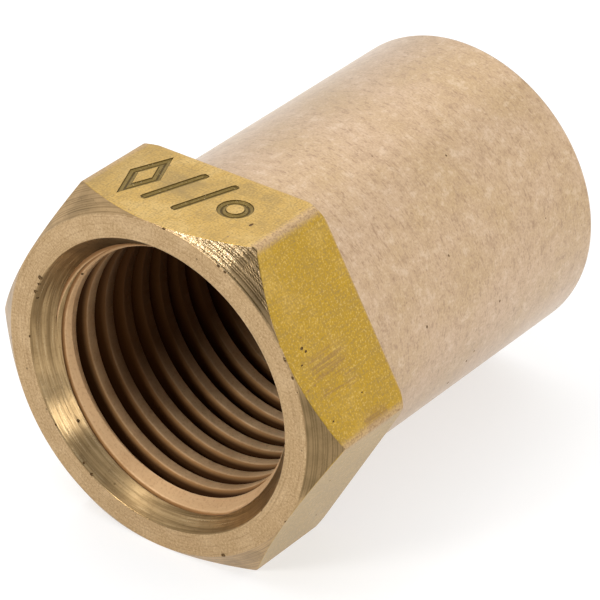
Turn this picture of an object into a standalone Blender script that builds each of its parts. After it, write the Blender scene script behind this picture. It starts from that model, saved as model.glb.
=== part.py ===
"""Brass gas fitting with a hexagon head, a round barrel and an internal thread.

Run it with blender --background --python part.py, or from Blender's text editor. Lengths are in
metres and +Z is up. The fitting lies on one wrench flat with its axis along Y. Its open mouth looks
along -Y and the origin is at the middle of its length, on the axis.

A station is a distance from the mouth plane along the axis, into the fitting. A clock angle turns
clockwise from +Z, as seen by someone who looks into the mouth.
"""

import math

import bmesh
import bpy

MM = 0.001

# Thread, 27 turns to the inch
THREAD_MAJOR_DIAMETER = 9.525 * MM
THREAD_DEPTH = 0.38 * MM
THREAD_PITCH = 25.4 * MM / 27
THREAD_FLANK_ANGLE = math.radians(30)
THREAD_ROOT_WIDTH = 0.118 * MM
THREAD_START_CLOCK = math.radians(-8)
THREAD_CUTTER_OVERLAP = 0.19 * MM
THREAD_RUNOUT_TURNS = 1.5
THREAD_RUNOUT_CLEARANCE = 0.114 * MM
PLAIN_BORE_LENGTH = 0.9 * MM
DRILL_POINT_HALF_ANGLE = math.radians(59)

# Mouth: how far the countersink opens outside the thread's root
COUNTERSINK_MARGIN = 0.41 * MM
COUNTERSINK_HALF_ANGLE = math.radians(34)

# Barrel and nose
FITTING_LENGTH = 16.7 * MM
BARREL_WALL = 0.7125 * MM
NOSE_EDGE_BREAK = 0.15 * MM
NOSE_LIP_THICKNESS = 0.9 * MM
NOSE_LIP_OVERLAP = 0.55 * MM
NOSE_COUNTERSINK_DEPTH = 0.45 * MM

# Hexagon head, from drawn bar: how far its flats stand above the barrel
HEX_SHOULDER = 0.525 * MM
HEX_LENGTH = 4.06 * MM
HEX_EDGE_ROUNDING = 0.15 * MM
MOUTH_CHAMFER_DEPTH = 0.8 * MM
MOUTH_CHAMFER_ANGLE = math.radians(40)
BACK_CHAMFER_DEPTH = 0.2 * MM
BACK_CHAMFER_ANGLE = math.radians(40)

# Metering jet, pressed in from the bore
JET_HOLE_DIAMETER = 2.95 * MM
JET_WALL = 1.025 * MM
JET_LENGTH = 2.9 * MM
JET_INLET_LAND = 0.4 * MM
JET_INLET_HALF_ANGLE = math.radians(30)
JET_EDGE_BREAK = 0.15 * MM
JET_CLEARANCE = 0.05 * MM

# Maker's mark on the top flat: a lozenge, two slanted strokes and a ring, cut into the surface
MARK_DEPTH = 0.06 * MM
MARK_HEIGHT = 2.1 * MM
MARK_STROKE = 0.34 * MM
MARK_SPACING = 1.2 * MM
MARK_STATION = 2.26 * MM
MARK_OFFSET = -0.3 * MM
MARK_SLANT = math.radians(18)
MARK_SIGNS = 4
MARK_RING_SEGMENTS = 16

# Brass: base colour and roughness
BODY_COLOUR = (0.72, 0.52, 0.30)
BODY_ROUGHNESS = 0.35
JET_COLOUR = (0.78, 0.60, 0.34)
JET_ROUGHNESS = 0.3

# How finely round surfaces are cut into facets
ROUND_SEGMENTS = 64
THREAD_SEGMENTS = 48
CORNER_SEGMENTS = 3
OVERSHOOT = 1.0 * MM
SMOOTH_ANGLE = math.radians(30)

# Sizes and stations that follow from the ones above
THREAD_MINOR_RADIUS = THREAD_MAJOR_DIAMETER / 2 - THREAD_DEPTH
BARREL_RADIUS = THREAD_MAJOR_DIAMETER / 2 + BARREL_WALL
HEX_APOTHEM = BARREL_RADIUS + HEX_SHOULDER
HEX_CORNER_RADIUS = HEX_APOTHEM / math.cos(math.pi / 6)
JET_SEAT_RADIUS = JET_HOLE_DIAMETER / 2 + JET_WALL
JET_SHOULDER_STATION = FITTING_LENGTH - NOSE_LIP_THICKNESS
JET_SEAT_STATION = JET_SHOULDER_STATION - JET_LENGTH - 2 * JET_CLEARANCE
DRILL_POINT_DEPTH = (THREAD_MINOR_RADIUS - JET_SEAT_RADIUS) / math.tan(DRILL_POINT_HALF_ANGLE)
BORE_END_STATION = JET_SEAT_STATION - DRILL_POINT_DEPTH
THREAD_END_STATION = BORE_END_STATION - PLAIN_BORE_LENGTH
BARREL_ROOT_STATION = HEX_LENGTH / 2


def clear_scene():
    """Remove whatever the scene holds."""
    for item in list(bpy.data.objects):
        bpy.data.objects.remove(item, do_unlink=True)


def place(radius, station, clock):
    """Return the point at this radius, station and clock angle."""
    return (radius * math.sin(clock), station, radius * math.cos(clock))


def add_object(name, shape, parent):
    """Turn a bmesh into a named object, with its faces pointing out."""
    bmesh.ops.recalc_face_normals(shape, faces=shape.faces)
    mesh = bpy.data.meshes.new(name)
    shape.to_mesh(mesh)
    shape.free()
    item = bpy.data.objects.new(name, mesh)
    item.parent = parent
    bpy.context.scene.collection.objects.link(item)
    return item


def turned(name, outline, parent, segments=ROUND_SEGMENTS):
    """Turn a closed outline of (radius, station) corners about the axis."""
    shape = bmesh.new()
    clocks = [2 * math.pi * step / segments for step in range(segments)]
    rings = []
    for radius, station in outline:
        if radius == 0:
            rings.append([shape.verts.new(place(0, station, 0))])
        else:
            rings.append([shape.verts.new(place(radius, station, clock)) for clock in clocks])
    for ring, following in zip(rings, rings[1:] + rings[:1]):
        for step in range(segments):
            after = (step + 1) % segments
            corners = [ring[step % len(ring)], ring[after % len(ring)]]
            corners += [following[after % len(following)], following[step % len(following)]]
            corners = list(dict.fromkeys(corners))
            if len(corners) > 2:
                shape.faces.new(corners)
    return add_object(name, shape, parent)


def hexagon_bar(name, parent):
    """Make the length of drawn bar, with its long edges rounded and a flat at the bottom."""
    shape = bmesh.new()
    clocks = [math.pi / 6 + math.pi / 3 * step for step in range(6)]
    mouth = [shape.verts.new(place(HEX_CORNER_RADIUS, 0, clock)) for clock in clocks]
    back = [shape.verts.new(place(HEX_CORNER_RADIUS, HEX_LENGTH, clock)) for clock in clocks]
    shape.faces.new(mouth)
    shape.faces.new(back)
    long_edges = []
    for step in range(6):
        after = (step + 1) % 6
        shape.faces.new((mouth[step], mouth[after], back[after], back[step]))
        long_edges.append(shape.edges.get((mouth[step], back[step])))
    setback = HEX_EDGE_ROUNDING * math.tan(math.pi / 6)
    bmesh.ops.bevel(
        shape, geom=long_edges, offset=setback, segments=CORNER_SEGMENTS, profile=0.5, affect="EDGES"
    )
    return add_object(name, shape, parent)


def chamfer_envelope(parent):
    """Make the turned shape that the bar's corners are cut back to."""
    wide = HEX_CORNER_RADIUS + OVERSHOOT
    mouth_radius = HEX_CORNER_RADIUS - MOUTH_CHAMFER_DEPTH / math.tan(MOUTH_CHAMFER_ANGLE)
    back_radius = HEX_CORNER_RADIUS - BACK_CHAMFER_DEPTH / math.tan(BACK_CHAMFER_ANGLE)
    mouth_reach = MOUTH_CHAMFER_DEPTH + OVERSHOOT * math.tan(MOUTH_CHAMFER_ANGLE)
    back_reach = BACK_CHAMFER_DEPTH + OVERSHOOT * math.tan(BACK_CHAMFER_ANGLE)
    return turned(
        "chamfer_envelope",
        [
            (0, 0),
            (mouth_radius, 0),
            (wide, mouth_reach),
            (wide, HEX_LENGTH - back_reach),
            (back_radius, HEX_LENGTH),
            (0, HEX_LENGTH),
        ],
        parent,
    )


def barrel(parent):
    """Make the solid round barrel, whose root lies inside the hexagon."""
    return turned(
        "barrel",
        [
            (0, BARREL_ROOT_STATION),
            (BARREL_RADIUS, BARREL_ROOT_STATION),
            (BARREL_RADIUS, FITTING_LENGTH - NOSE_EDGE_BREAK),
            (BARREL_RADIUS - NOSE_EDGE_BREAK, FITTING_LENGTH),
            (0, FITTING_LENGTH),
        ],
        parent,
    )


def bore_cutter(parent):
    """Make the shape of everything that is drilled out, from the countersink to the nose hole."""
    mouth = THREAD_MAJOR_DIAMETER / 2 + COUNTERSINK_MARGIN
    slope = math.tan(COUNTERSINK_HALF_ANGLE)
    hole = JET_SEAT_RADIUS - NOSE_LIP_OVERLAP
    return turned(
        "bore_cutter",
        [
            (0, -OVERSHOOT),
            (mouth + OVERSHOOT * slope, -OVERSHOOT),
            (THREAD_MINOR_RADIUS, (mouth - THREAD_MINOR_RADIUS) / slope),
            (THREAD_MINOR_RADIUS, BORE_END_STATION),
            (JET_SEAT_RADIUS, JET_SEAT_STATION),
            (JET_SEAT_RADIUS, JET_SHOULDER_STATION),
            (hole, JET_SHOULDER_STATION),
            (hole, FITTING_LENGTH - NOSE_COUNTERSINK_DEPTH),
            (hole + NOSE_COUNTERSINK_DEPTH + OVERSHOOT, FITTING_LENGTH + OVERSHOOT),
            (0, FITTING_LENGTH + OVERSHOOT),
        ],
        parent,
        segments=THREAD_SEGMENTS,
    )


def thread_cutter(parent):
    """Make the coil that a tap removes: a V section with a flat root, which fades out at its end."""
    shape = bmesh.new()
    root = THREAD_MAJOR_DIAMETER / 2
    root_half = THREAD_ROOT_WIDTH / 2
    inner = THREAD_MINOR_RADIUS - THREAD_CUTTER_OVERLAP
    inner_half = root_half + (root - inner) * math.tan(THREAD_FLANK_ANGLE)
    steps = round((THREAD_END_STATION / THREAD_PITCH + 1) * THREAD_SEGMENTS)
    fade_steps = round(THREAD_RUNOUT_TURNS * THREAD_SEGMENTS)
    lift = THREAD_DEPTH + THREAD_RUNOUT_CLEARANCE
    sections = []
    for step in range(steps + 1):
        turns = step / THREAD_SEGMENTS
        clock = THREAD_START_CLOCK + 2 * math.pi * turns
        station = THREAD_PITCH * (turns - 1)
        sunk = lift * max(0, step - steps + fade_steps) / fade_steps
        corners = [
            (inner - sunk, station - inner_half),
            (root - sunk, station - root_half),
            (root - sunk, station + root_half),
            (inner - sunk, station + inner_half),
        ]
        sections.append([shape.verts.new(place(radius, at, clock)) for radius, at in corners])
    for section, following in zip(sections, sections[1:]):
        for side in range(4):
            after = (side + 1) % 4
            shape.faces.new((section[side], section[after], following[after], following[side]))
    shape.faces.new(sections[0])
    shape.faces.new(sections[-1])
    return add_object("thread_cutter", shape, parent)


def add_prism(shape, corners, hole=()):
    """Add an upright prism through the top flat, over (across, station) corners, round a hole."""
    top = HEX_APOTHEM + OVERSHOOT
    bottom = HEX_APOTHEM - MARK_DEPTH
    loops = []
    for outline in (corners, hole):
        upper = [shape.verts.new((across, station, top)) for across, station in outline]
        lower = [shape.verts.new((across, station, bottom)) for across, station in outline]
        loops.append((upper, lower))
        for step in range(len(outline)):
            after = (step + 1) % len(outline)
            shape.faces.new((upper[step], upper[after], lower[after], lower[step]))
    for outer, inner in zip(*loops):
        if not inner:
            shape.faces.new(outer)
        for step in range(len(inner)):
            after = (step + 1) % len(inner)
            shape.faces.new((outer[step], outer[after], inner[after], inner[step]))


def polygon(centre, half_width, half_height, count):
    """Return the corners of a regular polygon stretched to these half sizes."""
    turn = 2 * math.pi / count
    return [
        (
            centre + half_width * math.cos(turn * step),
            MARK_STATION + half_height * math.sin(turn * step),
        )
        for step in range(count)
    ]


def mark_cutter(parent):
    """Make the cutter of the mark: a lozenge, two slanted strokes and a ring, side by side."""
    shape = bmesh.new()
    half_height = MARK_HEIGHT / 2
    half_width = (MARK_SPACING - MARK_STROKE / 2) / 2
    lean = half_height * math.tan(MARK_SLANT)
    first = MARK_OFFSET - MARK_SPACING * (MARK_SIGNS - 1) / 2
    lozenge, *strokes, ring = [first + MARK_SPACING * sign for sign in range(MARK_SIGNS)]
    inside = 1 - MARK_STROKE / half_width
    add_prism(
        shape,
        polygon(lozenge, half_width, half_height, 4),
        polygon(lozenge, half_width * inside, half_height * inside, 4),
    )
    for centre in strokes:
        half_stroke = MARK_STROKE / 2
        corners = [
            (centre - lean - half_stroke, MARK_STATION - half_height),
            (centre - lean + half_stroke, MARK_STATION - half_height),
            (centre + lean + half_stroke, MARK_STATION + half_height),
            (centre + lean - half_stroke, MARK_STATION + half_height),
        ]
        add_prism(shape, corners)
    add_prism(
        shape,
        polygon(ring, half_width, half_width, MARK_RING_SEGMENTS),
        polygon(ring, half_width - MARK_STROKE, half_width - MARK_STROKE, MARK_RING_SEGMENTS),
    )
    return add_object("mark_cutter", shape, parent)


def combine(piece, operation, other):
    """Join, cut or intersect the piece with another shape, which then only helps."""
    other.hide_render = True
    other.display_type = "WIRE"
    modifier = piece.modifiers.new(f"{operation.lower()} {other.name}", "BOOLEAN")
    modifier.operation = operation
    modifier.solver = "EXACT"
    modifier.object = other


def shade(piece):
    """Settle the piece's modifiers into its mesh and shade its round surfaces smooth."""
    bpy.context.view_layer.update()
    graph = bpy.context.evaluated_depsgraph_get()
    mesh = bpy.data.meshes.new_from_object(piece.evaluated_get(graph), depsgraph=graph)
    mesh.name = piece.name
    piece.modifiers.clear()
    piece.data = mesh
    mesh.shade_smooth()
    mesh.set_sharp_from_angle(angle=SMOOTH_ANGLE)


def finish(piece, colour, roughness):
    """Give the piece its own brass."""
    material = bpy.data.materials.new(f"{piece.name}_brass")
    material.use_nodes = True
    surface = material.node_tree.nodes["Principled BSDF"]
    surface.inputs["Base Color"].default_value = (*colour, 1.0)
    surface.inputs["Metallic"].default_value = 1.0
    surface.inputs["Roughness"].default_value = roughness
    material.diffuse_color = (*colour, 1.0)
    piece.data.materials.clear()
    piece.data.materials.append(material)


def make_body(parent):
    """Make the body: bar and barrel in one piece, then bored, tapped and marked."""
    body = hexagon_bar("fitting_body", parent)
    helpers = [chamfer_envelope(parent), barrel(parent), bore_cutter(parent)]
    helpers += [thread_cutter(parent), mark_cutter(parent)]
    operations = ["INTERSECT", "UNION", "DIFFERENCE", "DIFFERENCE", "DIFFERENCE"]
    for operation, helper in zip(operations, helpers):
        combine(body, operation, helper)
    shade(body)
    finish(body, BODY_COLOUR, BODY_ROUGHNESS)
    return body


def make_jet(parent):
    """Make the metering jet, whose own origin is at the middle of its inlet face."""
    outer = JET_SEAT_RADIUS - JET_CLEARANCE
    hole = JET_HOLE_DIAMETER / 2
    inlet = outer - JET_EDGE_BREAK - JET_INLET_LAND
    inlet_depth = (inlet - hole) / math.tan(JET_INLET_HALF_ANGLE)
    jet = turned(
        "metering_jet",
        [
            (inlet, 0),
            (outer - JET_EDGE_BREAK, 0),
            (outer, JET_EDGE_BREAK),
            (outer, JET_LENGTH - JET_EDGE_BREAK),
            (outer - JET_EDGE_BREAK, JET_LENGTH),
            (hole, JET_LENGTH),
            (hole, inlet_depth),
        ],
        parent,
        segments=THREAD_SEGMENTS,
    )
    jet.location.y = JET_SEAT_STATION + JET_CLEARANCE
    shade(jet)
    finish(jet, JET_COLOUR, JET_ROUGHNESS)
    return jet


def main():
    """Build the fitting around an empty that stands at the middle of its mouth."""
    clear_scene()
    mouth = bpy.data.objects.new("mouth_centre", None)
    mouth.location.y = -FITTING_LENGTH / 2
    bpy.context.scene.collection.objects.link(mouth)
    make_body(mouth)
    make_jet(mouth)


main()
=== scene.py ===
"""The looks of a small brass gas fitting: hexagon head, round barrel, internal thread and jet.

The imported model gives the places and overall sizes. Every mesh here is built round the same axis,
which runs along +Y from the open mouth to the nose. A station is a distance from the mouth plane
along that axis. A clock angle turns clockwise from +Z, as seen by someone who looks into the mouth.
Lengths are in metres unless a name or a docstring says millimetres.
"""

import logging
import math
import random
from collections.abc import Callable, Iterable, Sequence
from dataclasses import dataclass
from enum import Enum

import bmesh
import bpy
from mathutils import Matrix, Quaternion, Vector


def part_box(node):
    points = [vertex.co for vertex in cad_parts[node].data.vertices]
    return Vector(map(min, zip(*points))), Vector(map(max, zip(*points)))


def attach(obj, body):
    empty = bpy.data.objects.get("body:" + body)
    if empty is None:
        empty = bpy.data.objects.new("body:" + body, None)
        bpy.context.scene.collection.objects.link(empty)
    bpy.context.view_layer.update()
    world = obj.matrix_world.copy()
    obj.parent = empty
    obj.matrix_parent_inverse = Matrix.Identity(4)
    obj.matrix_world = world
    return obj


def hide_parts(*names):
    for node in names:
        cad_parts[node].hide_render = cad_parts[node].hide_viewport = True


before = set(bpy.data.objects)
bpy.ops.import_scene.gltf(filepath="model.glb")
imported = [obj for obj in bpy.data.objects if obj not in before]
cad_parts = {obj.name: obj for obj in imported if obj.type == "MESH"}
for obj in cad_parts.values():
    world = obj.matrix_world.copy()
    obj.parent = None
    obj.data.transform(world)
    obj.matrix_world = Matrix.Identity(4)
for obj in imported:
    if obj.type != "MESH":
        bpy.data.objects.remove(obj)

MM = 0.001
SHARP_ANGLE = math.radians(38)
LOG = logging.getLogger("fitting")

Place = tuple[float, float, float]
Point = tuple[float, float]
Colour = tuple[float, float, float]
Layer = tuple["Signal | float", "Signal | Colour"]


# Shader building


class Signal:
    """A number or a vector that varies over a surface: one output socket, with arithmetic."""

    def __init__(self, tree: "Tree", socket: bpy.types.NodeSocket) -> None:
        """Wrap one socket of a tree."""
        self.tree = tree
        self.socket = socket

    def maths(self, operation: str, *others: "Signal | float", clamp: bool = False) -> "Signal":
        """Add a Math node with this signal as its first value.

        Args:
            operation: the Math node's operation.
            others: the values after the first one.
            clamp: whether the result is held between 0 and 1.

        Returns:
            The node's result.
        """
        settings = {"operation": operation, "use_clamp": clamp}
        return self.tree.out("ShaderNodeMath", settings, dict(enumerate((self, *others))))

    def __add__(self, other: "Signal | float") -> "Signal":
        """Return self + other."""
        return self.maths("ADD", other)

    __radd__ = __add__

    def __sub__(self, other: "Signal | float") -> "Signal":
        """Return self - other."""
        return self.maths("SUBTRACT", other)

    def __rsub__(self, other: float) -> "Signal":
        """Return other - self."""
        return self.maths("MULTIPLY_ADD", -1.0, other)

    def __mul__(self, other: "Signal | float") -> "Signal":
        """Return self * other."""
        return self.maths("MULTIPLY", other)

    __rmul__ = __mul__

    def __truediv__(self, other: "Signal | float") -> "Signal":
        """Return self / other."""
        return self.maths("DIVIDE", other)

    def __pow__(self, other: float) -> "Signal":
        """Return self raised to a power."""
        return self.maths("POWER", other)

    def __abs__(self) -> "Signal":
        """Return the size of self without its sign."""
        return self.maths("ABSOLUTE")

    def clamped(self) -> "Signal":
        """Return self held between 0 and 1."""
        return self.maths("ADD", 0.0, clamp=True)

    def most(self, other: "Signal | float") -> "Signal":
        """Return the larger of the two."""
        return self.maths("MAXIMUM", other)

    def rising(self, low: float, high: float) -> "Signal":
        """Return a smooth step: 0 where self is below low, 1 where it is above high."""
        settings = {"interpolation_type": "SMOOTHSTEP"}
        return self.tree.out("ShaderNodeMapRange", settings, {"Value": self, 1: low, 2: high})

    def falling(self, low: float, high: float) -> "Signal":
        """Return a smooth step: 1 where self is below low, 0 where it is above high."""
        settings = {"interpolation_type": "SMOOTHSTEP"}
        sockets = {"Value": self, 1: low, 2: high, 3: 1.0, 4: 0.0}
        return self.tree.out("ShaderNodeMapRange", settings, sockets)

    def near(self, centre: float, half_width: float) -> "Signal":
        """Return 1 where self is at the centre, falling to 0 at half_width on either side."""
        return abs(self - centre).falling(0.0, half_width)


class Tree:
    """A node tree, emptied, with short ways to add nodes to it."""

    def __init__(self, owner: bpy.types.Material | bpy.types.World) -> None:
        """Empty the tree of a material or a world."""
        owner.use_nodes = True
        self.nodes = owner.node_tree.nodes
        self.links = owner.node_tree.links
        self.nodes.clear()

    def node(self, kind: str, settings: dict | None = None, sockets: dict | None = None) -> bpy.types.Node:
        """Add one node.

        Args:
            kind: the node's type.
            settings: its own settings, set before its sockets.
            sockets: a value, a colour or a signal for each input, by name or number.

        Returns:
            The node.
        """
        made = self.nodes.new(kind)
        for name, value in (settings or {}).items():
            setattr(made, name, value)
        for key, value in (sockets or {}).items():
            socket = made.inputs[key]
            if isinstance(value, Signal):
                self.links.new(value.socket, socket)
            elif isinstance(value, tuple) and socket.type == "RGBA":
                socket.default_value = (*value, 1.0)
            else:
                socket.default_value = value
        return made

    def out(
        self, kind: str, settings: dict | None = None, sockets: dict | None = None, output: int | str = 0,
    ) -> Signal:
        """Add one node and return one of its outputs as a signal."""
        return Signal(self, self.node(kind, settings, sockets).outputs[output])

    def vector(self, operation: str, first: Signal, second: "Signal | Place") -> Signal:
        """Add a Vector Math node that gives a vector."""
        return self.out("ShaderNodeVectorMath", {"operation": operation}, {0: first, 1: second})

    def along(self, first: Signal, way: Place) -> Signal:
        """Return how far a vector reaches along a way: their dot product."""
        sockets = {0: first, 1: way}
        return self.out("ShaderNodeVectorMath", {"operation": "DOT_PRODUCT"}, sockets, output="Value")

    def joined(self, x: "Signal | float", y: "Signal | float", z: "Signal | float") -> Signal:
        """Return a vector made of three numbers."""
        return self.out("ShaderNodeCombineXYZ", None, {0: x, 1: y, 2: z})

    def mixed(self, share: "Signal | float", first: "Signal | Colour", second: "Signal | Colour") -> Signal:
        """Mix two colours, with this share of the second one."""
        sockets = {0: share, 6: first, 7: second}
        return self.out("ShaderNodeMix", {"data_type": "RGBA"}, sockets, output=2)

    def layered(self, colour: "Signal | Colour", *layers: Layer) -> Signal:
        """Lay colours over one another.

        Args:
            colour: the one underneath.
            layers: a share from 0 to 1 and a colour for each one above it, from the lowest up.

        Returns:
            The mixed colour.
        """
        for share, layer in layers:
            colour = self.mixed(share, colour, layer)
        return colour

    def cloud_at(self, where: Signal, detail: float = 2.0, roughness: float = 0.5) -> Signal:
        """Return smooth noise at these places, which are in units of its own grain."""
        sockets = {"Vector": where, "Scale": 1.0, "Detail": detail, "Roughness": roughness}
        return self.out("ShaderNodeTexNoise", None, sockets)


class Skin(Tree):
    """The tree of one material, with the fitting's own coordinates in millimetres."""

    def __init__(self, name: str) -> None:
        """Make the material and the signals that say where on the fitting a point is."""
        self.material = bpy.data.materials.new(name)
        super().__init__(self.material)
        place = Signal(self, self.node("ShaderNodeTexCoord").outputs["Object"])
        self.place = self.vector("MULTIPLY", place, (1 / MM, 1 / MM, 1 / MM))
        parts = self.node("ShaderNodeSeparateXYZ", sockets={0: self.place})
        self.x, self.station, self.z = (Signal(self, parts.outputs[axis]) for axis in range(3))
        self.radius = (self.x * self.x + self.z * self.z) ** 0.5

    def cloud(self, grain: Place, detail: float = 2.0, roughness: float = 0.5, shift: float = 0.0) -> Signal:
        """Return smooth noise from 0 to 1.

        Args:
            grain: how many times a millimetre the noise repeats along X, Y and Z.
            detail: the number of finer layers.
            roughness: how strong the finer layers are.
            shift: moves the noise, so that two clouds differ.

        Returns:
            The noise.
        """
        where = self.vector("MULTIPLY", self.place, grain)
        return self.cloud_at(self.vector("ADD", where, (shift, shift, shift)), detail, roughness)

    def rings(self, per_mm: float, drift: float) -> Signal:
        """Return noise that runs in rings round the axis.

        Args:
            per_mm: how many rings there are to the millimetre.
            drift: how fast the rings change along their way, per millimetre.

        Returns:
            The noise.
        """
        where = self.joined(self.x * drift, self.radius * per_mm, self.z * drift)
        return self.cloud_at(where, detail=2.0, roughness=0.6)

    def tool_bottoms(self, pitch: float, start: float) -> Signal:
        """Return even tool grooves round the axis, from a radius on: 1 at the bottom of each."""
        turn = (self.radius - start) / pitch
        uneven = turn + (turn * 2.1).maths("SINE") * 0.3
        return (uneven * (2 * math.pi)).maths("COSINE") * 0.5 + 0.5

    def toward(self, clock: float) -> Signal:
        """Return the cosine of the angle round the axis from a clock angle in degrees."""
        turn = math.radians(clock)
        return (self.x * math.sin(turn) + self.z * math.cos(turn)) / self.radius

    def specks(self, per_mm: float, share: float, size: float) -> Signal:
        """Return small round specks: 1 inside a speck.

        Args:
            per_mm: how many cells there are to the millimetre.
            share: the part of the cells that hold a speck.
            size: a speck's radius as a share of its cell.

        Returns:
            The mask.
        """
        settings = {"feature": "F1"}
        cells = self.node("ShaderNodeTexVoronoi", settings, {"Vector": self.place, "Scale": per_mm})
        chosen = self.out("ShaderNodeSeparateColor", None, {0: Signal(self, cells.outputs["Color"])})
        inside = Signal(self, cells.outputs["Distance"]).falling(size * 0.5, size)
        return inside * chosen.maths("LESS_THAN", share)

    def finish(
        self, colour: "Signal | Colour", roughness: "Signal | float", height: Signal, depth: float,
        film: float = 0.0, edge: Colour = (1.0, 1.0, 1.0), metallic: float = 1.0,
    ) -> bpy.types.Material:
        """Finish the material as metal.

        Args:
            colour: the metal's colour.
            roughness: how matt it is.
            height: the relief of its surface, from 0 to 1.
            depth: how deep that relief is, in metres.
            film: how strong the thin film is that whitens the metal at a glancing angle.
            edge: the tint of what the metal reflects at a glancing angle.
            metallic: how much of it is bare metal, and not dull oxide.

        Returns:
            The material.
        """
        bump = self.out("ShaderNodeBump", None, {"Height": height, "Distance": depth, "Strength": 1.0})
        sockets = {"Base Color": colour, "Roughness": roughness, "Metallic": metallic, "Normal": bump}
        sockets |= {"Coat Weight": film, "Coat Roughness": 0.35, "Specular Tint": edge}
        surface = self.out("ShaderNodeBsdfPrincipled", None, sockets)
        self.node("ShaderNodeOutputMaterial", None, {"Surface": surface})
        return self.material


# Turned and cut shapes


@dataclass(frozen=True)
class Column:
    """A half-plane through the axis: its clock angle and how far the hexagon reaches in it."""

    clock: float
    reach: float = 0.0

    def at(self, radius: float, station: float) -> Place:
        """Return the point of this half-plane at a radius and a station."""
        return (radius * math.sin(self.clock), station, radius * math.cos(self.clock))


@dataclass(frozen=True)
class Corner:
    """A corner of a turned outline, with the run that follows it."""

    radius: float
    station: float
    rounding: float = 0.0
    cuts: int = 0
    ripple: Callable[[float, float], float] | None = None


class Outline:
    """A closed outline of (radius, station) points, with rounded corners."""

    ARC_STEPS = 3
    SUPPORT = 0.03 * MM

    def __init__(self, corners: Sequence[Corner]) -> None:
        """Keep the corners, in order, with the metal on the right of the way round."""
        self.corners = corners

    def arc(self, index: int) -> list[Point]:
        """Return the points that stand for one corner."""
        here = self.corners[index]
        corner = Vector((here.radius, here.station))
        if not here.rounding:
            return [tuple(corner)]
        ways = []
        reach = []
        for neighbour in (self.corners[index - 1], self.corners[(index + 1) % len(self.corners)]):
            way = Vector((neighbour.radius, neighbour.station)) - corner
            reach.append(way.length)
            ways.append(way.normalized())
        half_turn = ways[0].angle(ways[1]) / 2
        setback = min(here.rounding / math.tan(half_turn), 0.4 * min(reach))
        radius = setback * math.tan(half_turn)
        centre = corner + (ways[0] + ways[1]).normalized() * radius / math.sin(half_turn)
        first = corner + ways[0] * setback - centre
        last = corner + ways[1] * setback - centre
        fan = math.pi - 2 * half_turn
        points = []
        for step in range(self.ARC_STEPS + 1):
            lean = math.tan(fan * (step / self.ARC_STEPS - 0.5)) / math.tan(fan / 2)
            spoke = first.lerp(last, 0.5 + lean / 2)
            points.append(tuple(centre + spoke.normalized() * radius))
        return points

    def run(self, corner: Corner, start: Point, end: Point) -> list[Point]:
        """Return the points between two corners: supports beside both, and the corner's cuts."""
        first, last = Vector(start), Vector(end)
        along = last - first
        length = along.length
        support = min(self.SUPPORT, 0.2 * length)
        if not corner.cuts:
            shares = [support / length, 1 - support / length]
        else:
            inner = 1 - 2 * support / length
            shares = [support / length + inner * step / corner.cuts for step in range(corner.cuts + 1)]
        outwards = Vector((along.y, -along.x)).normalized()
        points = []
        for share in shares:
            point = first + along * share
            if corner.ripple:
                point += outwards * corner.ripple(point.x, point.y)
            points.append(tuple(point))
        return points

    def points(self) -> list[Point]:
        """Return the whole outline, which has as many points for any column."""
        arcs = [self.arc(index) for index in range(len(self.corners))]
        whole = []
        for index, corner in enumerate(self.corners):
            whole += arcs[index]
            whole += self.run(corner, arcs[index][-1], arcs[(index + 1) % len(arcs)][0])
        return whole


def placed(name: str, data: bpy.types.ID) -> bpy.types.Object:
    """Make an object of some data and put it in the scene."""
    made = bpy.data.objects.new(name, data)
    bpy.context.scene.collection.objects.link(made)
    return made


def piece_from(name: str, places: Sequence[Place], faces: Sequence[Sequence[int]]) -> bpy.types.Object:
    """Make an object from points and faces, smooth shaded."""
    mesh = bpy.data.meshes.new(name)
    mesh.from_pydata(places, [], faces)
    mesh.shade_smooth()
    return placed(name, mesh)


def swept(name: str, sections: Sequence[Sequence[Place]], closed: bool) -> bpy.types.Object:
    """Join closed sections, one after another.

    Args:
        name: the object's name.
        sections: the sections; all have as many points.
        closed: whether the last section joins the first one. If not, the ends are flat.

    Returns:
        The object.
    """
    rows = len(sections[0])
    places = [place for section in sections for place in section]
    faces = []
    for number in range(len(sections) if closed else len(sections) - 1):
        here, after = number * rows, (number + 1) % len(sections) * rows
        for row in range(rows):
            up = (row + 1) % rows
            faces.append((here + row, after + row, after + up, here + up))
    if not closed:
        faces.append(tuple(range(rows)))
        faces.append(tuple(reversed(range(len(places) - rows, len(places)))))
    return piece_from(name, places, faces)


def lofted(name: str, columns: Sequence[Column], outlines: Sequence[Sequence[Point]]) -> bpy.types.Object:
    """Join one outline per half-plane into a closed ring, in the order of their clock angles."""
    sections = [[column.at(*point) for point in outline] for column, outline in zip(columns, outlines)]
    return swept(name, sections, closed=True)


def cut_away(piece: bpy.types.Object, cutters: Iterable[bpy.types.Object]) -> None:
    """Cut other objects out of a piece, and then delete them."""
    for cutter in list(cutters):
        modifier = piece.modifiers.new(cutter.name, "BOOLEAN")
        modifier.operation = "DIFFERENCE"
        modifier.solver = "MANIFOLD"
        modifier.object = cutter
        bpy.context.view_layer.update()
        graph = bpy.context.evaluated_depsgraph_get()
        mesh = bpy.data.meshes.new_from_object(piece.evaluated_get(graph), depsgraph=graph)
        piece.modifiers.clear()
        piece.data = mesh
        bpy.data.objects.remove(cutter, do_unlink=True)


# Sizes


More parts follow.
